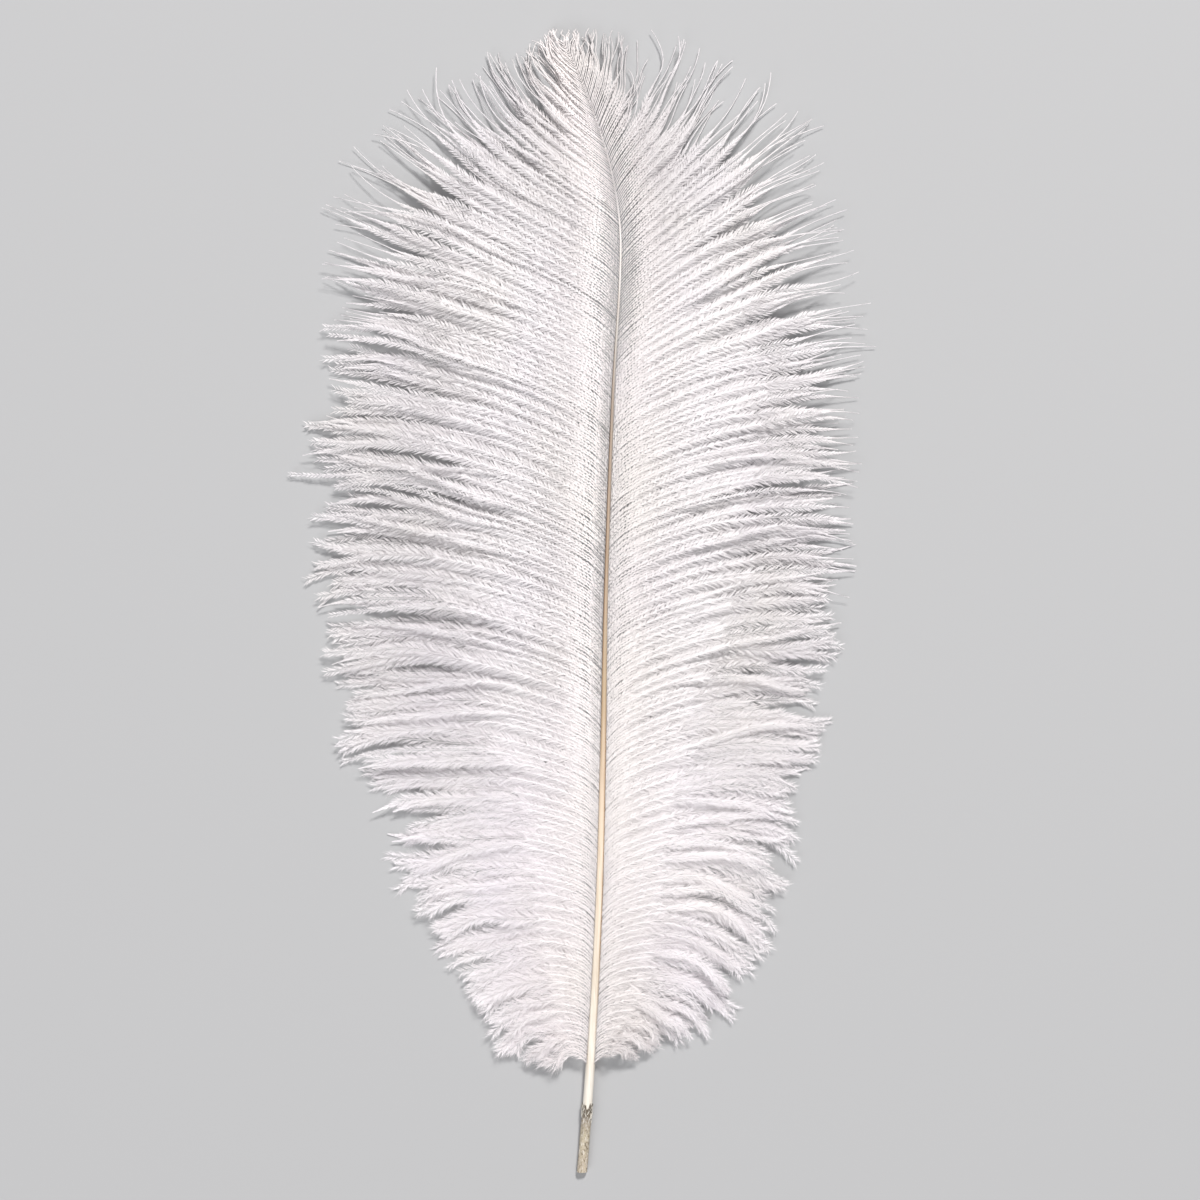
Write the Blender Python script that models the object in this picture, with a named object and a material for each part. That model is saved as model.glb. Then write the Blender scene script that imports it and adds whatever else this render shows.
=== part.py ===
"""Ostrich plume lying flat: a tapering shaft with a soft vane on each side.

Metres, +Z up. The shaft runs along Y, with the cut quill end at -Y and the tip at +Y. The plume rests
on the plane Z = 0 and the middle of its footprint is the origin.
"""

import math

import bmesh
import bpy

MM = 0.001

LENGTH = 228.6  # cut end to the farthest barb tip
MIDDLE = 1.49  # middle of the footprint, sideways from the zero line of the stations below
GAP = 0.35  # clearance between the shaft and each vane
SHAFT_END = 112.0  # the rachis stops here, a little inside the fan of barbs at the tip
SHAFT_RINGS = 64
SHAFT_SIDES = 16
VANE_SECTIONS = 44
VANE_STEPS = 8  # facets across one vane
EDGE_HEIGHT = 1.6  # thickness left at the barb tips
CROWN = 1.3  # how far the vane swells above the line from shaft to edge

# Shaft stations: along, sideways, height of the centreline, width.
SHAFT = (
    (-114.3, -0.1, 0.962, 1.96),
    (-92.0, 1.6, 2.0, 1.90),
    (-60.0, 3.3, 4.3, 1.55),
    (-30.0, 4.1, 5.8, 1.28),
    (0.0, 4.6, 6.7, 0.92),
    (40.0, 6.0, 7.0, 0.64),
    (71.0, 7.6, 6.0, 0.42),
    (85.0, 5.9, 5.0, 0.36),
    (98.0, 2.0, 4.0, 0.32),
    (108.0, -2.0, 3.2, 0.28),
    (112.0, -4.3, 2.9, 0.24),
)

# Outer edge of each vane: along, sideways.
LEFT_EDGE = (
    (-93.0, -4.0),
    (-89.0, -15.0),
    (-80.0, -23.0),
    (-68.0, -30.0),
    (-50.0, -38.0),
    (-30.0, -45.5),
    (-5.0, -50.5),
    (25.0, -53.0),
    (55.0, -50.0),
    (80.0, -46.0),
    (92.0, -40.0),
    (102.0, -29.0),
    (109.0, -17.0),
    (112.5, -9.0),
)
RIGHT_EDGE = (
    (-91.0, 8.0),
    (-87.0, 21.0),
    (-79.0, 31.0),
    (-65.0, 37.5),
    (-45.0, 43.0),
    (-20.0, 49.0),
    (10.0, 52.5),
    (40.0, 55.5),
    (62.0, 55.5),
    (80.0, 51.0),
    (94.0, 43.0),
    (104.0, 32.0),
    (111.0, 18.0),
    (114.3, 3.0),
)


def smooth(stations, along, column):
    """One column of the stations at this distance along, on a cubic through the stations."""
    last = len(stations) - 1
    i = 0
    while i < last - 1 and along > stations[i + 1][0]:
        i += 1

    def slope(k):
        low, high = stations[max(k - 1, 0)], stations[min(k + 1, last)]
        return (high[column] - low[column]) / (high[0] - low[0])

    start, end = stations[i], stations[i + 1]
    run = end[0] - start[0]
    t = min(max((along - start[0]) / run, 0.0), 1.0)
    t2, t3 = t * t, t * t * t
    return (
        (2 * t3 - 3 * t2 + 1) * start[column]
        + (t3 - 2 * t2 + t) * run * slope(i)
        + (3 * t2 - 2 * t3) * end[column]
        + (t3 - t2) * run * slope(i + 1)
    )


def principled(name, colour, roughness):
    """A plain non-metallic material."""
    material = bpy.data.materials.new(name)
    material.use_nodes = True
    shader = material.node_tree.nodes["Principled BSDF"]
    shader.inputs["Base Color"].default_value = (*colour, 1.0)
    shader.inputs["Roughness"].default_value = roughness
    shader.inputs["Metallic"].default_value = 0.0
    material.diffuse_color = (*colour, 1.0)
    return material


def loft(name, rings, material):
    """A closed solid through rings of equal point count, with both ends filled."""
    bm = bmesh.new()
    loops = [[bm.verts.new([c * MM for c in point]) for point in ring] for ring in rings]
    for low, high in zip(loops, loops[1:]):
        for k in range(len(low)):
            n = (k + 1) % len(low)
            bm.faces.new((low[k], low[n], high[n], high[k]))
    bm.faces.new(loops[0])
    bm.faces.new(loops[-1])
    bmesh.ops.recalc_face_normals(bm, faces=bm.faces)
    mesh = bpy.data.meshes.new(name)
    bm.to_mesh(mesh)
    bm.free()
    mesh.materials.append(material)
    mesh.shade_smooth()
    mesh.set_sharp_from_angle(angle=math.radians(40))
    obj = bpy.data.objects.new(name, mesh)
    bpy.context.scene.collection.objects.link(obj)
    return obj


def shaft_ring(along):
    """Cross-section of the shaft: round at the quill, squarer and slightly deeper along the rachis."""
    x, z, width = (smooth(SHAFT, along, column) for column in (1, 2, 3))
    progress = (along - SHAFT[0][0]) / LENGTH
    squareness = 1.0 - 0.25 * min(1.0, 3.0 * progress)
    depth = 1.0 + 0.12 * min(1.0, 2.0 * progress)
    ring = []
    for k in range(SHAFT_SIDES):
        angle = 2 * math.pi * (k + 0.5) / SHAFT_SIDES
        c, s = math.cos(angle), math.sin(angle)
        across = math.copysign(abs(c) ** squareness, c) * width / 2
        up = math.copysign(abs(s) ** squareness, s) * width / 2 * depth
        ring.append((x + across, along, z + up))
    return ring


def make_shaft(material):
    """The quill and rachis as one tapering rod, closer rings towards the curled tip."""
    rings = []
    for k in range(SHAFT_RINGS):
        t = k / (SHAFT_RINGS - 1)
        rings.append(shaft_ring(-LENGTH / 2 + (SHAFT_END + LENGTH / 2) * (1 - (1 - t) ** 1.25)))
    return loft("shaft", rings, material)


def vane_section(side, edge, along, fade):
    """One slice of a vane: a slot wall beside the shaft, a crowned top and a flat underside."""
    shaft_along = min(along, SHAFT_END)
    x, z, width = (smooth(SHAFT, shaft_along, column) for column in (1, 2, 3))
    half = width / 2 + GAP
    inner = x + side * half
    outer = max(side * smooth(edge, along, 1), side * inner + 1.5) * side
    root_top = 0.8 + (z - 0.6) * fade
    edge_top = 0.6 + (EDGE_HEIGHT - 0.6) * fade
    section = [
        (x + side * 0.25, along, 0.0),
        (inner, along, min(max(z - width, 0.2), root_top - 0.2)),
        (inner, along, root_top),
    ]
    for k in range(1, VANE_STEPS + 1):
        t = k / VANE_STEPS
        crown = CROWN * fade * math.sin(math.pi * t**0.6)
        top = root_top + (edge_top - root_top) * t**1.2 + crown
        section.append((inner + (outer - inner) * t, along, top))
    section.append((outer, along, 0.0))
    return section


def make_vane(name, side, edge, material):
    """All the barbs on one side of the shaft, out to their tips. Side is -1 for left, 1 for right."""
    low, high = edge[0][0], edge[-1][0]
    sections = []
    for k in range(VANE_SECTIONS):
        t = 0.5 - 0.5 * math.cos(math.pi * k / (VANE_SECTIONS - 1))
        along = low + (high - low) * (0.35 * t + 0.65 * k / (VANE_SECTIONS - 1))
        fade = min(1.0, (along - low) / 16.0, (high - along) / 20.0)
        sections.append(vane_section(side, edge, along, math.sin(math.pi / 2 * max(fade, 0.0))))
    return loft(name, sections, material)


def main():
    for obj in list(bpy.data.objects):
        bpy.data.objects.remove(obj, do_unlink=True)
    horn = principled("horn", (0.84, 0.74, 0.58), 0.42)
    down = principled("down", (0.86, 0.84, 0.86), 0.85)
    plume = bpy.data.objects.new("plume", None)
    plume.location.x = -MIDDLE * MM
    bpy.context.scene.collection.objects.link(plume)
    pieces = (
        make_shaft(horn),
        make_vane("vane_left", -1, LEFT_EDGE, down),
        make_vane("vane_right", 1, RIGHT_EDGE, down),
    )
    for piece in pieces:
        piece.parent = plume


main()
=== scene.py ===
"""A white ostrich plume lying on a pale surface, seen from straight above."""

import math
from collections import namedtuple

import bpy
import numpy as np
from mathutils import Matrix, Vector


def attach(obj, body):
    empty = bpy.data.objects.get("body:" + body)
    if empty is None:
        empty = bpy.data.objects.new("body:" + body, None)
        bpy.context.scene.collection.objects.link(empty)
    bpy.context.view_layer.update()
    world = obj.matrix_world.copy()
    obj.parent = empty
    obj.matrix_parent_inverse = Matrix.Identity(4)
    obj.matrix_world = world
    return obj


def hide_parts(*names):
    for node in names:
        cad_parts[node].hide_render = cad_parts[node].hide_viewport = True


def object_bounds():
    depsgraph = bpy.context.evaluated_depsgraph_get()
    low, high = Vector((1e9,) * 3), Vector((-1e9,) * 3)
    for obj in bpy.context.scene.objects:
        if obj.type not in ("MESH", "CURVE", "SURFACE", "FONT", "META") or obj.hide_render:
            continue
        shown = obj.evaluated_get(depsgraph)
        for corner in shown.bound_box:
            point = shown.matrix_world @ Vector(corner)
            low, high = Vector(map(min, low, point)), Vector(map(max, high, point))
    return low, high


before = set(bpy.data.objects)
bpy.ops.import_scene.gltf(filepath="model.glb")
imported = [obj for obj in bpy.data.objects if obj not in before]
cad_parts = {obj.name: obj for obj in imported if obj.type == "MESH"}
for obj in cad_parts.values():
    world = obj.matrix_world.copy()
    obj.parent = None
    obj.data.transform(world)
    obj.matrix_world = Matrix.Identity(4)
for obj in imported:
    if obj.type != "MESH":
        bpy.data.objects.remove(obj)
cad_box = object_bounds()

MM = 0.001
UP = np.array([0.0, 0.0, 1.0])
HALF_LENGTH = float(cad_box[1][1])  # the plume's ends lie this far up and down from the origin
FLOOR = 0.12 * MM  # no barbule reaches lower than this
LOWEST = 0.35 * MM  # nor the middle of a barb's stem lower than this
PATH = 56  # steps along a barb
U = np.linspace(0, 1, PATH + 1)  # places along a barb, from the shaft to the barb's tip
RAMUS_RINGS = 17
BARBS = 352  # on each side of the shaft, closer together towards the tip
PIECES = 4  # barbule meshes on each side
ROOTS = (-92.3, 111.3)  # first and last barb along the shaft, in mm
STRAY = (7.0, 0.32)  # place along the shaft of one long stray barb on the left, give or take, in mm
LOCK_SHARES = [0.12, 0.34, 0.32, 0.16, 0.06]  # share of locks with one, two, ... five barbs
SPACING = 0.108  # from barbule to barbule along a barb, in mm
WIDTH = 0.09  # of a barbule, in mm

rng = np.random.default_rng(20)

# Barb directions in degrees away from straight up the plume, outwards: root position along the
# shaft in mm, direction a third of the way out, direction at the tip.
LEFT_SWEEP = np.array([
    (-93, 112, 147), (-84, 94, 133), (-72, 84, 117), (-55, 77, 106), (-35, 72, 99), (-12, 68, 95),
    (14, 65, 91), (32, 64, 85), (46, 64, 76), (56, 63, 62), (65, 62, 48), (72, 60, 36), (78, 58, 28),
    (86, 54, 24), (92, 49, 24), (98, 44, 24), (105, 40, 22), (112, 34, 10),
], float)
RIGHT_SWEEP = np.array([
    (-93, 94, 148), (-84, 86, 143), (-72, 79, 131), (-55, 72, 109), (-35, 67, 99), (-12, 67, 94),
    (14, 68, 89), (30, 66, 85), (45, 59, 79), (55, 53, 73), (62, 52, 60), (69, 50, 40), (75, 47, 31),
    (80, 44, 24), (86, 40, 14), (91, 34, -2), (97, 24, -12), (104, 12, -14), (112, -4, -22),
], float)

# How the barbs change along the plume: root position in mm, longest barbule in mm, share of the barb
# that is feathered, barbule spread out of the plane in degrees, how close a lock draws together,
# how far a lock sways in mm, how far one barb strays in degrees, share of barbs lying loose on top.
CHARACTER = np.array([
    (-93, 3.7, 1.00, 32, 0.66, 1.2, 4.6, 0.12), (-60, 3.6, 1.00, 28, 0.60, 1.1, 4.2, 0.11),
    (-25, 2.9, 1.00, 19, 0.46, 1.0, 3.4, 0.07), (10, 2.4, 1.00, 13, 0.38, 0.9, 3.0, 0.05),
    (40, 2.3, 0.92, 11, 0.36, 0.8, 3.0, 0.05), (62, 2.1, 0.81, 11, 0.40, 0.8, 3.6, 0.07),
    (80, 1.6, 0.70, 11, 0.46, 0.8, 4.2, 0.10), (96, 1.1, 0.58, 11, 0.56, 0.7, 5.0, 0.10),
    (112, 0.6, 0.40, 11, 0.75, 0.5, 6.5, 0.0),
], float)

# Notches and tufts in the outline: root position in mm, share of the full barb length.
LEFT_REACH = np.array([
    (-93, 1.12), (-84, 1.0), (-64, 1.0), (-50, 0.95), (-38, 1.02), (-30, 1.0), (-23, 1.04), (-19, 0.92),
    (-14, 1.04), (-4, 0.99), (6, 0.97), (24, 1.01), (38, 1.05), (50, 1.06), (66, 1.07), (80, 1.02),
    (90, 0.98), (112, 0.95),
], float)
RIGHT_REACH = np.array([
    (-93, 0.98), (-84, 0.96), (-78, 1.0), (-70, 1.01), (-62, 1.0), (-50, 0.97), (-34, 1.0), (-29, 0.94),
    (-20, 1.0), (4, 1.02), (20, 1.0), (44, 1.02), (52, 1.04), (56, 0.98), (64, 1.07), (73.6, 1.10),
    (74.6, 0.90), (76, 0.90), (77, 1.12), (79.8, 1.12), (80.6, 0.84), (82, 0.84), (82.8, 1.10),
    (87.4, 1.06), (88.2, 0.74), (90.4, 0.74), (91.2, 1.03), (112, 0.98),
], float)


def vertices(node):
    """World coordinates of a CAD node's vertices."""
    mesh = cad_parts[node].data
    points = np.empty(len(mesh.vertices) * 3)
    mesh.vertices.foreach_get("co", points)
    return points.reshape(-1, 3)


def sections(node):
    """The node's vertices gathered by distance along the plume, to 0.02 mm: [(y, points), ...]."""
    points = vertices(node)
    keys = np.round(points[:, 1] / (0.02 * MM)).astype(int)
    return [(points[keys == key, 1].mean(), points[keys == key]) for key in np.unique(keys)]


# Shaft stations: along, sideways, height of the centreline, width.
SHAFT = np.array([
    (y, (p[:, 0].min() + p[:, 0].max()) / 2, (p[:, 2].min() + p[:, 2].max()) / 2, np.ptp(p[:, 0]))
    for y, p in sections("shaft")
])
LEFT_EDGE = np.array([(y, p[:, 0].min()) for y, p in sections("vane_left")])
RIGHT_EDGE = np.array([(y, p[:, 0].max()) for y, p in sections("vane_right")])


def shaft_at(y, column):
    """One column of the shaft's stations at this distance along."""
    return np.interp(y, SHAFT[:, 0], SHAFT[:, column])


def looked_up(table, y, *columns):
    """Columns of a table whose first column is the place along the plume in mm."""
    return [np.interp(y / MM, table[:, 0], table[:, k]) for k in columns]


def smoothstep(low, high, value):
    """0 at the low value and 1 at the high one, levelling off at both."""
    t = np.clip((value - low) / (high - low), 0.0, 1.0)
    return t * t * (3 - 2 * t)


def ease(start, end, y):
    """0 at the first place along the plume and 1 at the second, both in mm."""
    return smoothstep(start * MM, end * MM, y)


def unit(v):
    """The same directions with length 1."""
    return v / np.maximum(np.linalg.norm(v, axis=-1, keepdims=True), 1e-12)


def past(start, value):
    """How far the value lies past the start, or 0."""
    return np.clip(value - start, 0, None)


# ---------------------------------------------------------------- barb paths

Barb = namedtuple("Barb", "y route loose leads")  # root, 3-D points, lying loose?, on top of its lock?


def flow_path(side, y_root, sweep, length):
    """A barb's undisturbed route in plan, from the shaft outwards: points (PATH + 1, 2)."""
    sideways = shaft_at(y_root + 2 * MM, 1) - shaft_at(y_root - 2 * MM, 1)
    lean = math.degrees(math.atan2(sideways, 4 * MM)) * side
    middle, tip = looked_up(sweep, y_root, 1, 2)
    start = lean + 26.0 + 9.0 * ease(38, 62, y_root)
    opened = 1 - np.exp(-(U * length / MM) / 3.6)
    angle = start + (middle - start) * opened + (tip - middle) * smoothstep(0.1, 1.05, U)
    angle = np.radians(angle)
    heading = np.stack([side * np.sin(angle), np.cos(angle)], 1)
    steps = (heading[1:] + heading[:-1]) / 2 * (length / PATH)
    beside = 0.38 - 0.18 * ease(30, 62, y_root) - 0.35 * ease(68, 82, y_root)  # of the shaft's width
    root = np.array([shaft_at(y_root, 1) + side * shaft_at(y_root, 3) * beside, y_root])
    return np.concatenate([root[None], root + np.cumsum(steps, 0)])


def inside(points):
    """Whether points in plan lie within the plume's outline."""
    x, y = points[:, 0], points[:, 1]
    low = min(LEFT_EDGE[0, 0], RIGHT_EDGE[0, 0])
    return (
        (x > np.interp(y, LEFT_EDGE[:, 0], LEFT_EDGE[:, 1]))
        & (x < np.interp(y, RIGHT_EDGE[:, 0], RIGHT_EDGE[:, 1]))
        & (y > low - 1 * MM)
        & (y < RIGHT_EDGE[-1, 0])
    )


def reach(side, y_root, sweep):
    """How long the barb has to be to end at the outline, from a few ever closer tries."""
    length = 40 * MM  # a first guess
    skipped = 3  # steps next to the shaft, where the outline can't be
    for _ in range(4):
        tried = max(1.25 * length, 6 * MM)
        outside = np.flatnonzero(~inside(flow_path(side, y_root, sweep, tried))[skipped:])
        length = ((outside[0] + skipped) if len(outside) else PATH) * (tried / PATH)
    return float(np.clip(length, 3.2 * MM, 80 * MM))


def barb_roots():
    """Where the barbs of one side start, along the shaft."""
    place = np.linspace(*ROOTS, 400)
    crowding = np.cumsum(1 + 0.14 * smoothstep(55, 80, place))
    roots = np.interp(np.linspace(crowding[0], crowding[-1], BARBS), crowding, place) * MM
    return roots + rng.uniform(-0.12, 0.12, BARBS) * MM


def barb_lengths(side, roots, sweep, share):
    """The barbs' lengths: evened out between neighbours, then with the outline's notches and tufts."""
    lengths = np.array([reach(side, y, sweep) for y in roots])
    kernel = np.hanning(13)[1:-1]
    padded = np.pad(lengths, len(kernel) // 2, mode="edge")
    lengths = np.convolve(padded, kernel / kernel.sum(), mode="valid")
    return lengths * looked_up(share, roots, 1)[0]


def locks_of(count):
    """Splits the barbs into locks of a few neighbours: an array of lock numbers."""
    sizes = []
    while sum(sizes) < count:
        sizes.append(int(rng.choice([1, 2, 3, 4, 5], p=LOCK_SHARES)))
    return np.repeat(np.arange(len(sizes)), sizes)[:count]


def waves(y, spans, phases):
    """A smooth wandering value of about -1..1 along the plume."""
    total = sum(math.sin(2 * math.pi * y / (span * MM) + phase) for span, phase in zip(spans, phases))
    return total / math.sqrt(len(spans))


class Lock:
    """A few neighbouring barbs that run together, with what they share."""

    def __init__(self, side, sweep, y, length, phases):
        self.side, self.sweep, self.y = side, sweep, y
        gather, sway, self.wild, self.loose_share = looked_up(CHARACTER, y, 4, 5, 6, 7)
        self.guide = flow_path(side, y, sweep, length)
        self.tangent = unit(np.gradient(self.guide, axis=0))
        self.normal = np.stack([-self.tangent[:, 1], self.tangent[:, 0]], 1)
        calm = ease(-15, -50, y) * (side < 0)
        gather += 0.17 * calm + 0.12 * ease(68, 80, y) * (side > 0)
        gather = np.clip(gather + rng.uniform(-0.16, 0.2), 0.12, 0.95)
        self.fork = ease(35, 80, y)
        # Neighbouring locks drift together first, then each one on its own.
        turned = 1.5 * waves(y, (23, 13), phases[:2])
        turned += (0.34 - 0.06 * self.fork) * self.wild * rng.normal()
        swing = math.tan(math.radians(turned * (1 - 0.5 * calm)))
        turns = rng.uniform(0, 2 * math.pi, 2)
        meander = 0.62 * np.sin(2 * math.pi * 0.8 * U + turns[0])
        meander += 0.38 * np.sin(4 * math.pi * U + turns[1])
        meander = (meander - meander[PATH // 3]) * smoothstep(0.3, 0.75, U) * sway * MM
        self.reach = rng.uniform(0.95, 1.03) + 0.025 * waves(y, (17, 8), phases[2:4])
        self.lift = rng.uniform(-1.1, 1.1) * (1 - 0.45 * calm) * MM
        self.tip_height = rng.uniform(0.7, 2.8) * MM
        self.drift = self.normal * (swing * length * past(0.35, U) ** 1.4 + meander)[:, None]
        closing = 1 - (1 - gather) * smoothstep(rng.uniform(0.32, 0.55), 0.92, U)
        opening = rng.uniform(-0.1 + 0.2 * self.fork, 0.5 + 0.7 * self.fork) * (1 - gather)
        self.closing = (closing + opening * smoothstep(0.82, 1.0, U))[:, None]

    def barb(self, y_root, length, aside):
        """One barb of the lock, this many barbs aside from the one in its middle."""
        low = ease(-45, -60, y_root)
        tufts = low * (self.side > 0)  # more barbs lie loose at the bottom right
        loose = rng.random() < self.loose_share + 0.16 * tufts
        plan = self.plan(y_root, length, low, loose)
        z = self.height(y_root, aside, loose)
        route = np.concatenate([plan, np.maximum(z, LOWEST)[:, None]], 1)
        if loose:
            cut = self.reach * rng.uniform(0.94, 0.99 + 0.07 * tufts)
        else:
            cut = self.reach * rng.uniform(0.9, 1.0)
        if rng.random() < 0.1:  # broken short
            cut *= rng.uniform(0.7, 0.95)
        if self.side < 0 and abs(y_root - STRAY[0] * MM) < STRAY[1] * MM:
            cut, loose = 1.10, True
            route[:, 1] += 1.5 * MM * U**2.5
        return Barb(y_root, shortened(route, cut), loose, aside == 0)

    def plan(self, y_root, length, low, loose):
        """The barb's route in plan: drawn to the lock's own, with a wandering and maybe stray tip."""
        own = flow_path(self.side, y_root, self.sweep, length)
        plan = self.guide + (own - self.guide) * self.closing + self.drift
        wander = np.cumsum(rng.normal(0, 1, PATH + 1))
        wander = np.convolve(np.pad(wander, 6, mode="edge"), np.ones(13) / 13, mode="valid")
        wander = (wander - wander[0]) * 0.035 * MM * smoothstep(0.1, 1, U)
        # How many degrees it strays, and from which share of its length on.
        angle, since = rng.normal(0, 0.75 * self.wild), 0.45
        bend = rng.normal(0, (0.006 + 0.006 * self.fork) * self.wild)
        if loose:
            angle = rng.choice([-1, 1]) * rng.uniform(4, 8 + 1.4 * self.wild)
            since = rng.uniform(0.3, 0.55)
            if self.side > 0 and rng.random() < low:  # towards the quill
                angle = -rng.uniform(5, 13)
        elif rng.random() < 0.17:
            angle = rng.choice([-1, 1]) * rng.uniform(4, 12)
            since = rng.uniform(0.45, 0.7)
        stray = math.tan(math.radians(angle)) * length * past(since, U) ** 1.35
        flick = bend * length * (past(0.72, U) / 0.28) ** 2.2
        plan = plan + self.normal * (wander + stray + flick)[:, None]
        if -80 * MM < self.y < -25 * MM and rng.random() < 0.07:  # a small hook at the tip
            hook = (past(0.8, U) / 0.2)[:, None] * rng.uniform(1.2, 2.4) * MM
            plan = plan + self.normal * hook * rng.choice([-1, 1]) - self.tangent * hook**2 / (3.4 * MM)
        return plan

    def height(self, y_root, aside, loose):
        """The barb's height above the surface: from the shaft's side in an arch down to the tip."""
        over = 0.36 + 0.3 * ease(68, 82, y_root)  # start above the centreline, in shaft widths
        z_root = shaft_at(y_root, 2) + over * shaft_at(y_root, 3)
        z_tip = self.tip_height + rng.uniform(-0.3, 0.5) * MM
        fall = smoothstep(0.0, 1.0, U)
        z = z_root * (1 - fall) + z_tip * fall
        ridge = 0.4 * MM * aside  # the lock's middle barb lies highest
        z -= ridge * smoothstep(0.06, 0.25, U)
        arch = 1.5 - 1.1 * ease(55, 88, y_root)
        z += arch * MM * np.sin(math.pi * U**0.7) ** 1.2
        apart = smoothstep(0.2, 0.55, U) * smoothstep(1.05, 0.8, U)
        z += (self.lift + rng.uniform(-0.2, 0.2) * MM) * apart
        if loose:
            z += (1.3 * MM + 1.2 * ridge) * smoothstep(0.28, 0.5, U) * smoothstep(1.0, 0.75, U)
        return z


def resampled(route, at):
    """Points of a route at these shares of its length."""
    old = np.linspace(0, 1, len(route))
    return np.stack([np.interp(at, old, route[:, k]) for k in range(3)], 1)


def shortened(route, cut):
    """The route cut off at this share of its length, or drawn out if it is more than 1."""
    route = resampled(route, np.linspace(0, min(cut, 1.0), PATH + 1))
    if cut > 1:
        route += (route[-1] - route[-2]) * (cut - 1) * PATH * (U**3)[:, None]
        route[:, 2] = np.maximum(route[:, 2], LOWEST)
    return route


def barbs_of(side, sweep, share):
    """Every barb on one side, from the quill to the tip."""
    roots = barb_roots()
    lengths = barb_lengths(side, roots, sweep, share)
    phases = rng.uniform(0, 2 * math.pi, 6)  # the last two are spare
    locks = locks_of(BARBS)
    barbs = []
    for number in np.unique(locks):
        members = np.flatnonzero(locks == number)
        lock = Lock(side, sweep, roots[members].mean(), lengths[members].mean(), phases)
        for rank, i in enumerate(members):
            barbs.append(lock.barb(roots[i], lengths[i], abs(rank - len(members) // 2)))
    return barbs


# ---------------------------------------------------------------- meshes


class Strands:
    """Vertices, faces and map coordinates gathered for one mesh."""

    def __init__(self):
        self.points, self.maps, self.loops, self.sizes = [], [], [], []
        self.count = 0

    def add(self, points, spots, faces):
        """points (n, 3), their places in plan (n, 2), and a list of index arrays (m, 3) or (m, 4)."""
        self.points.append(points)
        self.maps.append(spots)
        for face in faces:
            self.loops.append(face.ravel() + self.count)
            self.sizes.append(np.full(len(face), face.shape[1]))
        self.count += len(points)

    def build(self, name, material):
        """One mesh object of everything gathered, mapped from above."""
        points = np.concatenate(self.points)
        spots = np.concatenate(self.maps)
        loops = np.concatenate(self.loops).astype(np.int32)
        sizes = np.concatenate(self.sizes)
        starts = np.concatenate([[0], np.cumsum(sizes)[:-1]]).astype(np.int32)
        mesh = bpy.data.meshes.new(name)
        mesh.vertices.add(len(points))
        mesh.vertices.foreach_set("co", points.astype(np.float32).ravel())
        mesh.loops.add(len(loops))
        mesh.loops.foreach_set("vertex_index", loops)
        mesh.polygons.add(len(sizes))
        mesh.polygons.foreach_set("loop_start", starts)
        low, high = spots.min(0), spots.max(0)
        spots = 0.01 + 0.98 * (spots - low) / (high - low)
        layer = mesh.uv_layers.new(name="OFBake")
        layer.data.foreach_set("uv", spots[loops].astype(np.float32).ravel())
        mesh.update(calc_edges=True)
        return placed(mesh, material)


def placed(mesh, material):
    """An object in the scene showing this mesh in this material."""
    mesh.materials.append(material)
    obj = bpy.data.objects.new(mesh.name, mesh)
    bpy.context.scene.collection.objects.link(obj)
    return obj


def in_plan(direction):
    """Unit vector across a direction as seen from above, for laying strips on the map."""
    flat = direction[:, :2] + 1e-9
    flat = flat / np.linalg.norm(flat, axis=1, keepdims=True)
    return np.stack([-flat[:, 1], flat[:, 0]], 1)


def add_ramus(strands, route, width_base, width_tip):
    """The barb's own stem: a three-sided tapering tube ending in a point."""
    at = np.linspace(0, 1, RAMUS_RINGS) ** 0.9
    centre = resampled(route, at)
    tangent = unit(np.gradient(centre, axis=0))
    across = unit(np.cross(tangent, UP))
    above = np.cross(across, tangent)
    radius = (width_base + (width_tip - width_base) * at**0.8)[:, None] / 2
    ring = []
    for angle in (90, 210, 330):
        a = math.radians(angle)
        ring.append(centre + radius * (math.cos(a) * across + math.sin(a) * above))
    points = np.stack(ring, 1)
    points[-1] = centre[-1]
    plan = in_plan(tangent)
    offset = np.array([0.0, -1.0, 1.0])[None, :, None] * radius[:, :, None] * plan[:, None, :]
    spots = centre[:, None, :2] + offset
    n = np.arange(RAMUS_RINGS - 2)[:, None] * 3
    k = np.arange(3)[None]
    nxt = (k + 1) % 3
    quads = np.stack([n + k, n + nxt, n + 3 + nxt, n + 3 + k], -1).reshape(-1, 4)
    last = (RAMUS_RINGS - 2) * 3
    tip = np.array([(last + j, last + (j + 1) % 3, last + 3) for j in range(3)])
    base = np.array([(2, 1, 0)])
    strands.add(points.reshape(-1, 3)[: last + 4], spots.reshape(-1, 2)[: last + 4], [quads, tip, base])


def teeth_of(s, soft):
    """Neighbouring barbules cling together in teeth, a little irregularly: tooth numbers and middles."""
    tooth = rng.uniform(0.70, 0.90) * (1 - 0.3 * soft) * MM
    place = s / tooth + 0.22 * np.sin(s / (1.3 * MM) + rng.uniform(0, 6))
    group = np.floor(place).astype(int)
    centre = s + (group + 0.5 - place) * tooth
    return group - group.min(), centre


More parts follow.
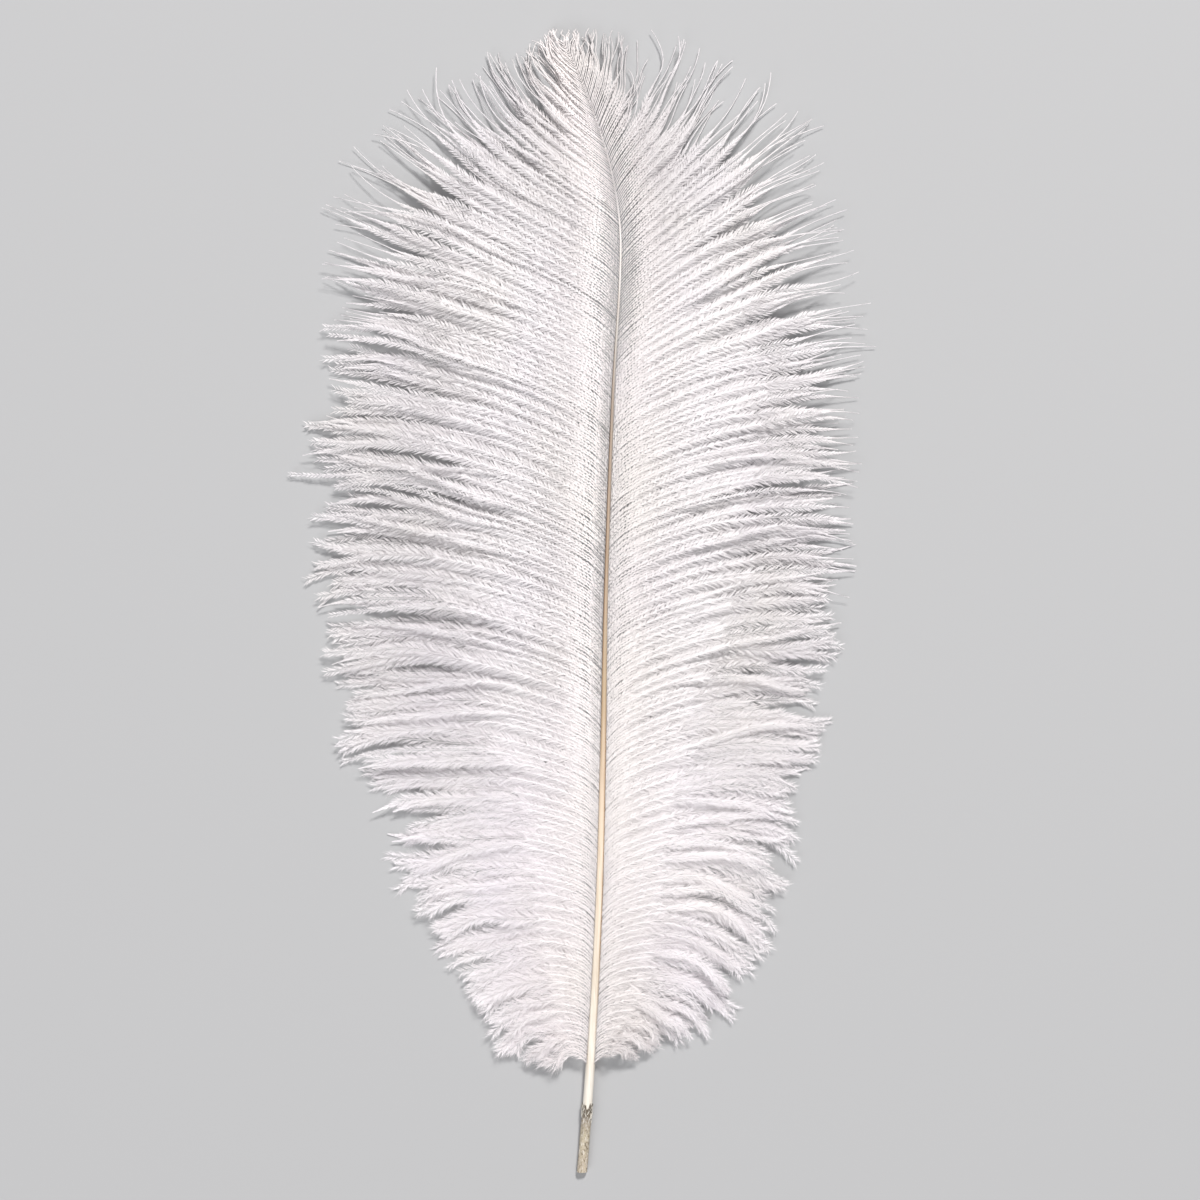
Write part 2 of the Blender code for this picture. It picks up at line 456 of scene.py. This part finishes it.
def barbule_sizes(barb, vane, longest, s, share, soft):
    """Barbule lengths along a barb in mm, before chance: growing away from the shaft, less at the tip."""
    # 1 where the comb of separate barbs shows beside the shaft, most clearly on the left.
    comb = max(ease(36, 58, barb.y), 0.55 * ease(-85, -55, barb.y) * (vane < 0))
    inner = 1.75 + (longest - 1.75) * soft * 0.8
    size = inner + (longest - inner) * smoothstep(0.2, 0.6, share)
    size = size - 0.32 * longest * smoothstep(0.6, 1.0, share)
    # Beside the shaft they are too short to close the gaps between the barbs.
    start = 0.27 * (0.8 + 0.2 * smoothstep(0.0, 3 * MM, s) - 0.35 * comb)
    grown = smoothstep((1 + 1.4 * comb) * MM, (11 - 5 * soft + 3 * comb) * MM, s)
    return size * MM * (start + (1 - start) * grown)


def add_barbules(strands, barb, vane, longest, feathered, spread):
    """Two rows of fine curved blades along a barb, angled towards its tip and meeting in small teeth.

    The row on the plume's tip side lies over the next barb, and the other row tucks under.
    """
    along = np.concatenate([[0], np.cumsum(np.linalg.norm(np.diff(barb.route, axis=0), axis=1))])
    total = along[-1]
    soft = ease(5, -60, barb.y)  # 1 in the down near the quill

    def on_route(s):
        return np.stack([np.interp(s, along, barb.route[:, k]) for k in range(3)], 1)

    for row in (-1, 1):
        s = np.arange(0.4 * MM, total - 0.5 * MM, SPACING * (1 - 0.12 * soft) * MM)
        count = len(s)
        if count < 3:
            continue
        s = s + rng.uniform(-0.45, 0.45, count) * SPACING * MM
        share = s / total
        bare = smoothstep(feathered - 0.16, feathered + 0.04, share) * (feathered < 0.999)
        base = on_route(s)
        tangent = unit(on_route(s + 0.4 * MM) - on_route(s - 0.4 * MM))
        side = unit(np.cross(UP, tangent)) * row
        above = np.cross(tangent, side) * row

        group, centre = teeth_of(s, soft)
        groups = group.max() + 1
        group_size = rng.uniform(0.72, 1.12, groups)[group]
        group_lift = rng.normal(0, 0.8 * spread * (1 - 0.5 * soft), groups)[group]
        group_roll = rng.normal(0, 13 * (1 - 0.7 * soft), groups)[group]
        group_open = rng.normal(0, 4 + 2 * soft, groups)[group]

        size = barbule_sizes(barb, vane, longest, s, share, soft) * group_size
        size *= rng.uniform(0.85, 1.05, count) * (0.62 if barb.loose else 1.0)
        # On the bare tip they are short and lie close to the stem.
        pressed = (0.5 + 0.1 * ease(55, 80, barb.y)) * (1.25 - 0.65 * share)
        size = size * (1 - bare) + pressed * MM * bare

        # How far they open from the stem, and how far they rise out of the vane, in degrees.
        open_angle = 46 - 3 * soft - 8 * share + group_open + rng.normal(0, 1.5 + 6 * soft, count)
        open_angle = np.radians(open_angle * (1 - bare) + 13 * bare)
        if barb.leads:
            tilt = -9 - 3 * share
        else:
            tilt = 0 - 10 * share if row == vane else -24 + 8 * share
        lift = tilt * (1 - 0.6 * soft) - 3 * soft + group_lift + rng.normal(0, 0.35 * spread, count)
        lift = np.radians(lift)[:, None]
        outward = np.cos(lift) * side + np.sin(lift) * above

        def heading(angle):
            return np.cos(angle)[:, None] * tangent + np.sin(angle)[:, None] * outward

        curl = np.radians(rng.normal(11, 3 + 13 * soft, count)) * (1 - bare)
        first, second = heading(open_angle), heading(open_angle - curl)
        second[:, 2] -= 0.10 + 0.08 * rng.random(count)
        second = unit(second)
        cling = (1 - 0.65 * soft) * (1 - bare)
        pull = ((centre - s) * cling)[:, None] * tangent
        middle = base + first * (size * 0.52)[:, None] + pull * 0.55
        end = middle + second * (size * 0.50)[:, None] + pull * 0.35

        roll = np.radians(group_roll + rng.normal(0, 16, count))[:, None]
        flat = unit(np.cross(first, above))
        across = np.cos(roll) * flat + np.sin(roll) * np.cross(flat, first)
        width = (WIDTH - 0.025 * soft) * MM * rng.uniform(0.8, 1.15, count)[:, None]
        across = across * np.minimum(width, size[:, None] * 0.25) / 2
        straight = share < 0.62 - 0.24 * soft
        add_blades(strands, (base, middle, end), across, in_plan(first) * 0.05 * MM, straight)


def add_blades(strands, blade, across, plan, straight):
    """One or two triangles for each barbule, from its base, middle and end.

    Straight barbules are one triangle, the rest bend in the middle. plan sets them apart on the map.
    """
    blade = [np.concatenate([p[:, :2], np.maximum(p[:, 2:], FLOOR)], 1) for p in blade]
    for chosen in (straight, ~straight):
        count = int(chosen.sum())
        if not count:
            continue
        a, b, c = (points[chosen] for points in blade)
        w, p = across[chosen], plan[chosen]
        if chosen is straight:
            points = np.stack([a - w * 1.2, a + w * 1.2, c], 1)
            spots = np.stack([a[:, :2] - p, a[:, :2] + p, c[:, :2]], 1)
            faces = [np.arange(count)[:, None] * 3 + np.array([[0, 1, 2]])]
        else:
            b = b * 0.8 + a * 0.2
            points = np.stack([a, b - w, b + w, c], 1)
            spots = np.stack([a[:, :2], b[:, :2] - p, b[:, :2] + p, c[:, :2]], 1)
            n = np.arange(count)[:, None] * 4
            faces = [n + np.array([[0, 2, 1]]), n + np.array([[1, 2, 3]])]
        points[:, :, 2] = np.maximum(points[:, :, 2], FLOOR)
        strands.add(points.reshape(-1, 3), spots.reshape(-1, 2), faces)


def finish_piece(strands, name, node, material):
    """Turns the gathered strands into one piece that stands in for part of the node."""
    obj = strands.build(name, material)
    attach(obj, "root")
    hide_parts(node)


def ramus_widths(barb, side, high, spiky):
    """Width of a barb's stem at the shaft and next to its tip."""
    root = 0.21 + 0.01 * side - 0.06 * ease(36, 58, barb.y)
    root += 0.12 * ease(72, 84, barb.y)
    tip = 0.12 + 0.09 * high + 0.04 * spiky
    if barb.loose:
        tip = 0.15 + 0.06 * ease(-45, -60, barb.y) * (side > 0)
    return root * MM, tip * MM


def make_vane(node, side, sweep, share, stems, down):
    """All the barbs on one side: their stems in one mesh, their barbules in a few."""
    barbs = barbs_of(side, sweep, share)
    rami = Strands()
    for number, chunk in enumerate(np.array_split(np.arange(len(barbs)), PIECES), 1):
        barbules = Strands()
        for barb in (barbs[i] for i in chunk):
            longest, feathered, spread = looked_up(CHARACTER, barb.y, 1, 2, 3)
            high = ease(30, 90, barb.y)
            # Part of the right edge ends in bare spikes.
            spiky = (ease(-22, 2, barb.y) - ease(40, 70, barb.y)) * (side > 0)
            add_ramus(rami, barb.route, *ramus_widths(barb, side, high, spiky))
            if side > 0:
                longest *= 1 - 0.12 * high
            feathered -= (0.09 if side > 0 else -0.03) * high + 0.085 * spiky
            feathered = min(1.0, feathered * rng.uniform(0.97 - 0.05 * high, 1.09))
            add_barbules(barbules, barb, side, longest, feathered, spread)
        finish_piece(barbules, f"{node}_barbs_{number}", node, down)
    finish_piece(rami, f"{node}_rami", node, stems)


# ---------------------------------------------------------------- dried sheath on the quill

SHEATH_START, SHEATH_END = -114.28, -100.7  # along the quill in mm, the first just above its cut end
SHEATH_SIDES, SHEATH_RINGS = 48, 56
THREADS, THREAD_STEPS = 30, 9


def around(y, angle, gap):
    """A point on the quill's skin, this far off its surface. The angle runs from the right, over the top."""
    x, z, width = (shaft_at(y, k) for k in (1, 2, 3))
    r = width / 2 + gap
    return np.array([x + r * math.cos(angle), y, max(z + r * math.sin(angle), 0.03 * MM)])


def sheath_edge(angle):
    """Where the sheath ends: torn into a V on top, with small teeth."""
    notch = 0.7 * math.exp(-(((angle - math.pi / 2) / 0.35) ** 2))
    teeth = 0.3 * math.sin(7 * angle + 0.6) + 0.25 * math.sin(17 * angle + 2.0)
    return (SHEATH_END - notch + teeth) * MM


def sheath_mesh():
    """A thin wrinkled sleeve over the last part of the quill, curling off it at the torn edge."""
    points, faces = [], []
    for j in range(SHEATH_RINGS):
        rolled = smoothstep(0.9, 1.0, j / (SHEATH_RINGS - 1))
        for k in range(SHEATH_SIDES):
            angle = 2 * math.pi * k / SHEATH_SIDES
            start, end = SHEATH_START * MM, sheath_edge(angle)
            y = start + (end - start) * j / (SHEATH_RINGS - 1)
            wrinkle = 0.022 * math.sin(5 * angle + 900 * y) + 0.02 * math.sin(11 * angle - 2300 * y)
            curl = 0.16 * rolled * (0.5 + 0.5 * math.sin(9 * angle))
            gap = 0.055 + wrinkle + rng.uniform(-0.008, 0.008) + curl
            points.append(tuple(around(y, angle, gap * MM)))
    for j in range(SHEATH_RINGS - 1):
        low, high = j * SHEATH_SIDES, (j + 1) * SHEATH_SIDES
        for k in range(SHEATH_SIDES):
            n = (k + 1) % SHEATH_SIDES
            faces.append((low + k, low + n, high + n, high + k))
    mesh = bpy.data.meshes.new("sheath")
    mesh.from_pydata(points, [], faces)
    mesh.shade_smooth()
    return mesh


def sheath_threads():
    """Frayed threads at the sheath's edge, running up the quill."""
    threads = Strands()
    for _ in range(THREADS):
        angle = rng.uniform(0.1, 3.0)
        y = sheath_edge(angle) - rng.uniform(0.6, 3.6) * MM
        turn = rng.normal(0, 0.12)
        gap = rng.uniform(0.10, 0.2)
        route = []
        for _ in range(THREAD_STEPS):
            route.append(around(y, angle, gap * MM))
            y += rng.uniform(0.12, 0.22) * MM
            angle += turn
            gap += rng.uniform(-0.02, 0.035)
        add_ramus(threads, np.array(route), 0.13 * MM, 0.05 * MM)
    return threads


def make_sheath():
    """The dried sheath and its threads, which go with the shaft."""
    sleeve = placed(sheath_mesh(), sheath_material())
    frayed = sheath_threads().build("sheath_threads", fibre_material())
    for obj in (sleeve, frayed):
        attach(obj, "root")


# ---------------------------------------------------------------- materials

# Painted light and shade on the barbs beside the shaft, standing in for how the lamps fall across the vanes:
# mm to the right of the shaft, share of full brightness.
# Near the quill, along the middle, and in the fan at the tip.
PAINTED_LIGHTING_LOW = (
    (-30, 0.955), (-22, 0.975), (-9, 0.945), (-3, 0.895), (3, 0.825), (9, 0.91), (18, 0.985), (30, 0.955),
)
PAINTED_LIGHTING_MIDDLE = (
    (-30, 0.88), (-18, 0.89), (-9, 0.85), (-3, 1.0), (3, 0.82), (9, 0.835), (18, 0.87), (30, 0.88),
)
PAINTED_LIGHTING_HIGH = (
    (-30, 0.86), (-18, 0.81), (-9, 0.79), (-3, 1.0), (3, 0.83), (9, 0.70), (18, 0.74), (30, 0.84),
)
ACROSS = 30  # the tables reach this far to either side, in mm
SHAFT_SWAY = 10 * MM  # the shaft stays within this of the middle line


def grey(value):
    """A colour without a tint."""
    return (value,) * 3


class Paint:
    """A procedural material. Each method adds a node and gives its output back."""

    def __init__(self, name, **shader):
        self.material = bpy.data.materials.new(name)
        self.material.use_nodes = True
        self.tree = self.material.node_tree
        self.shader = self.tree.nodes["Principled BSDF"]
        for socket, value in shader.items():
            self.put(self.shader.inputs[socket.replace("_", " ")], value)

    def put(self, socket, value):
        """Gives an input its value, or joins it to another node's output."""
        if isinstance(value, bpy.types.NodeSocket):
            self.tree.links.new(value, socket)
        else:
            socket.default_value = value

    def add(self, kind, inputs, **settings):
        """A new node with these settings and inputs. Gives all its outputs."""
        node = self.tree.nodes.new("ShaderNode" + kind)
        for setting, value in settings.items():
            setattr(node, setting, value)
        for socket, value in inputs.items():
            self.put(node.inputs[socket], value)
        return node.outputs

    def ramp(self, value, stops):
        """The colour at this value, from stops of (value, colour)."""
        outputs = self.add("ValToRGB", {"Fac": value})
        elements = outputs["Color"].node.color_ramp.elements
        while len(elements) > 1:
            elements.remove(elements[-1])
        elements[0].position, elements[0].color = stops[0][0], (*stops[0][1], 1)
        for position, colour in stops[1:]:
            elements.new(position).color = (*colour, 1)
        return outputs["Color"]

    def map_range(self, value, low, high, start=0.0, end=1.0):
        """The value carried from low..high to start..end."""
        ends = {"From Min": low, "From Max": high, "To Min": start, "To Max": end}
        return self.add("MapRange", {"Value": value, **ends})["Result"]

    def noise(self, scale, **inputs):
        """Smooth noise about 0.5."""
        return self.add("TexNoise", {"Scale": scale, **inputs})["Fac"]

    def multiply(self, first, second, amount=1.0):
        """The first colour multiplied by the second."""
        inputs = {"Factor": amount, "A": first, "B": second}
        return self.add("Mix", inputs, data_type="RGBA", blend_type="MULTIPLY")["Result"]

    def position(self):
        """The point on the object, and its parts."""
        point = self.add("TexCoord", {})["Object"]
        return point, self.add("SeparateXYZ", {"Vector": point})

    def stretched(self, point, scale):
        """The point with each of its parts scaled."""
        return self.add("Mapping", {"Vector": point, "Scale": scale})["Vector"]

    def colour(self, colour):
        """Sets the shader's colour."""
        self.put(self.shader.inputs["Base Color"], colour)

    def bump(self, height, strength, distance):
        """Makes the surface rough to the eye."""
        inputs = {"Strength": strength, "Distance": distance, "Height": height}
        self.put(self.shader.inputs["Normal"], self.add("Bump", inputs)["Normal"])


def along_plume(paint, parts):
    """The place along the plume, from 0 at the cut end of the quill to 1 at the tip."""
    return paint.map_range(parts["Y"], -HALF_LENGTH, HALF_LENGTH)


def from_shaft(paint, along, x):
    """Distance to the right of the shaft at this place along it, as 0..1 for -ACROSS..ACROSS."""
    stops = []
    for y in np.linspace(SHAFT[0, 0], SHAFT[-1, 0], 14):
        sideways = (shaft_at(y, 1) + SHAFT_SWAY) / (2 * SHAFT_SWAY)
        stops.append(((y + HALF_LENGTH) / (2 * HALF_LENGTH), grey(sideways)))
    shaft_x = paint.map_range(paint.ramp(along, stops), 0.0, 1.0, -SHAFT_SWAY, SHAFT_SWAY)
    beside = paint.add("Math", {0: x, 1: shaft_x}, operation="SUBTRACT")["Value"]
    return paint.map_range(beside, -ACROSS * MM, ACROSS * MM)


def painted_lighting_across(paint, along, x):
    """Painted light and shade to either side of the shaft, creamier close to it, changing along the plume.
    """
    place = from_shaft(paint, along, x)
    tones = []
    for stops in (PAINTED_LIGHTING_LOW, PAINTED_LIGHTING_MIDDLE, PAINTED_LIGHTING_HIGH):
        tinted = []
        for offset, value in stops:
            cream = 0.04 * (1 - smoothstep(0, 18, abs(offset)))
            colour = (value, value * (1 - 0.4 * cream), value * (1 - cream))
            tinted.append(((offset + ACROSS) / (2 * ACROSS), colour))
        tones.append(paint.ramp(place, tinted))
    result = tones[0]
    for painted_tone, start, end in ((tones[1], 0.30, 0.44), (tones[2], 0.74, 0.86)):
        inputs = {"Factor": paint.map_range(along, start, end), "A": result, "B": painted_tone}
        result = paint.add("Mix", inputs, data_type="RGBA")["Result"]
    return result


def down_material(name, shade, rough):
    """White barbs with a faint drift of tint, lighter in the down near the quill and darker towards the tip
    in painted light and shade, with painted light and shade across the vanes too.
    """
    paint = Paint(name, Roughness=rough, Specular_IOR_Level=0.35)
    point, parts = paint.position()
    along = along_plume(paint, parts)
    drift = paint.noise(45.0, Detail=3.0, Vector=point)
    tint = paint.ramp(drift, [
        (0.25, (0.975, 0.93, 0.96)), (0.55, (0.985, 0.945, 0.955)), (0.8, (1.0, 0.96, 0.95)),
    ])
    # Painted light and shade along the plume: lighter in the down near the quill, darker from the middle to
    # the tip.
    painted_tone = paint.ramp(along, [
        (0.10, (0.98, 0.975, 0.98)), (0.28, (0.975, 0.975, 0.98)), (0.42, grey(shade + 0.10)),
        (0.60, grey(shade + 0.06)), (0.80, grey(shade + 0.09)), (1.0, grey(shade + 0.07)),
    ])
    # Painted light and shade across the vanes: lighter on the left beside the shaft, darker on the right.
    beside = painted_lighting_across(paint, along, parts["X"])
    paint.colour(paint.multiply(paint.multiply(tint, painted_tone), beside))
    return paint.material


def horn_material():
    """The shaft: ivory quill, tan rachis, thinning to white at the tip.

    A brown line runs down its right edge in the lower part, and above that painted shade darkens its
    left-facing edge, the side turned from the key lamp.
    """
    paint = Paint("shaft_horn")
    point, parts = paint.position()
    along = along_plume(paint, parts)
    colour = paint.ramp(along, [
        (0.00, (0.74, 0.66, 0.54)), (0.07, (0.80, 0.76, 0.69)), (0.14, (0.79, 0.72, 0.62)),
        (0.22, (0.77, 0.67, 0.55)), (0.29, (0.75, 0.62, 0.48)), (0.35, (0.63, 0.49, 0.36)),
        (0.42, (0.50, 0.38, 0.25)), (0.50, (0.43, 0.32, 0.225)), (0.58, (0.38, 0.29, 0.215)),
        (0.67, (0.35, 0.29, 0.24)), (0.73, (0.50, 0.47, 0.44)), (0.80, (0.80, 0.78, 0.77)),
        (1.00, (0.86, 0.83, 0.84)),
    ])

    # Each edge line, the left one painted shade: its colours from left-facing to right-facing, and where it
    # fades in and out.
    # Painted shade on the left-facing flank of the rachis.
    left = [(0.16, (0.34, 0.26, 0.19)), (0.28, (0.74, 0.65, 0.55)), (0.42, grey(1.0))]
    right = [(0.70, grey(1.0)), (0.85, (0.60, 0.46, 0.34))]
    facing = paint.add("SeparateXYZ", {"Vector": point.node.outputs["Normal"]})
    turned = paint.map_range(facing["X"], -1.0, 1.0)
    for flank, extent in ((left, (0.34, 0.46, 0.72, 0.84)), (right, (0.10, 0.20, 0.38, 0.46))):
        shown = [(position, grey(value)) for position, value in zip(extent, (0, 1, 1, 0))]
        colour = paint.multiply(colour, paint.ramp(turned, flank), paint.ramp(along, shown))

    streaks = paint.noise(1.0, Detail=4.0, Vector=paint.stretched(point, (2600, 60, 2600)))
    shade = paint.ramp(streaks, [(0.3, (0.80, 0.74, 0.68)), (0.6, grey(1.0))])
    paint.colour(paint.multiply(colour, shade, 0.75))
    paint.put(paint.shader.inputs["Roughness"], paint.map_range(streaks, 0.0, 1.0, 0.32, 0.55))
    paint.bump(streaks, 0.35, 0.05 * MM)
    return paint.material


def sheath_material():
    """Dried skin: mottled cream, tan and grey-brown, darkest at its ragged upper edge."""
    paint = Paint("dried_sheath", Roughness=0.6)
    point, parts = paint.position()
    stretch = paint.stretched(point, (2600, 1500, 2600))
    blotch = paint.noise(1.0, Detail=5.0, Roughness=0.62, Vector=stretch)
    mottle = paint.ramp(blotch, [
        (0.36, (0.15, 0.12, 0.09)), (0.43, (0.33, 0.28, 0.21)), (0.49, (0.56, 0.49, 0.36)),
        (0.55, (0.36, 0.31, 0.26)), (0.62, (0.66, 0.61, 0.53)),
    ])
    shade = paint.ramp(paint.map_range(parts["Y"], -HALF_LENGTH, -100 * MM), [
        (0.0, (1.1, 1.08, 1.08)), (0.12, (1.0, 0.97, 0.96)), (0.5, (1.0, 1.0, 0.96)),
        (0.70, (0.78, 0.76, 0.76)), (0.78, (0.40, 0.38, 0.37)), (0.95, (0.26, 0.24, 0.22)),
    ])
    paint.colour(paint.multiply(mottle, shade))
    paint.bump(blotch, 0.8, 0.08 * MM)
    return paint.material


def fibre_material():
    """Pale frayed threads at the edge of the sheath."""
    paint = Paint("sheath_threads", Roughness=0.55)
    paint.colour(paint.ramp(paint.noise(900.0), [(0.35, (0.72, 0.66, 0.56)), (0.6, (0.86, 0.83, 0.77))]))
    return paint.material


def floor_material():
    """Matt pale grey, almost even."""
    paint = Paint("studio_floor", Roughness=0.9, Specular_IOR_Level=0.1)
    paint.colour(paint.ramp(paint.noise(3.0), [(0.3, (0.415, 0.415, 0.42)), (0.7, (0.43, 0.43, 0.435))]))
    return paint.material


# ---------------------------------------------------------------- studio

FLOOR_REACH = 2.0  # half the width of the floor, in metres
AIM = (2.0 * MM, 0.2 * MM, 4 * MM)  # the camera looks straight down at this point
FILLED = 0.955833  # share of the picture's height that the plume takes up

# Square lamps aimed at the origin: name, place and size in metres, power in watts, colour.
LAMPS = (
    ("key", (0.4, 1.1, 1.45), 0.3, 36.0, (1.0, 0.985, 0.97)),
    ("fill", (-0.8, -1.2, 1.3), 1.2, 15.0, (0.97, 0.985, 1.0)),
    ("top", (0.0, -0.1, 1.6), 0.8, 6.0, (1.0, 1.0, 1.0)),
)


def area_light(name, place, size, power, colour):
    """One square lamp aimed at the origin."""
    data = bpy.data.lights.new(name, "AREA")
    data.shape = "SQUARE"
    data.size = size
    data.energy = power
    data.color = colour
    obj = bpy.data.objects.new(name, data)
    obj.location = place
    obj.rotation_euler = (Vector() - Vector(place)).to_track_quat("-Z", "Y").to_euler()
    bpy.context.scene.collection.objects.link(obj)


def studio():
    """A plain pale floor, soft lamps and an even pale sky."""
    mesh = bpy.data.meshes.new("floor")
    corners = [(x * FLOOR_REACH, y * FLOOR_REACH, 0) for x, y in ((-1, -1), (1, -1), (1, 1), (-1, 1))]
    mesh.from_pydata(corners, [], [(0, 1, 2, 3)])
    floor = placed(mesh, floor_material())
    for lamp in LAMPS:
        area_light(*lamp)
    world = bpy.data.worlds.new("studio")
    bpy.context.scene.world = world
    world.use_nodes = True
    sky = world.node_tree.nodes["Background"]
    sky.inputs["Color"].default_value = (0.95, 0.96, 1.0, 1)
    sky.inputs["Strength"].default_value = 0.22
    bpy.context.scene.view_settings.view_transform = "Standard"


def camera():
    """Straight down, tip up the frame."""
    data = bpy.data.cameras.new("camera")
    data.lens, data.sensor_width = 110.0, 36.0
    obj = bpy.data.objects.new("camera", data)
    seen = (cad_box[1][1] - cad_box[0][1]) / FILLED
    obj.location = (AIM[0], AIM[1], AIM[2] + seen * data.lens / data.sensor_width)
    bpy.context.scene.collection.objects.link(obj)
    bpy.context.scene.camera = obj


def main():
    down = down_material("ostrich_down", 0.84, 0.6)
    stems = down_material("ostrich_rami", 0.88, 0.45)
    make_vane("vane_left", -1, LEFT_SWEEP, LEFT_REACH, stems, down)
    make_vane("vane_right", 1, RIGHT_SWEEP, RIGHT_REACH, stems, down)
    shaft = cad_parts["shaft"]
    shaft.material_slots[0].material = horn_material()
    make_sheath()
    studio()
    camera()


main()
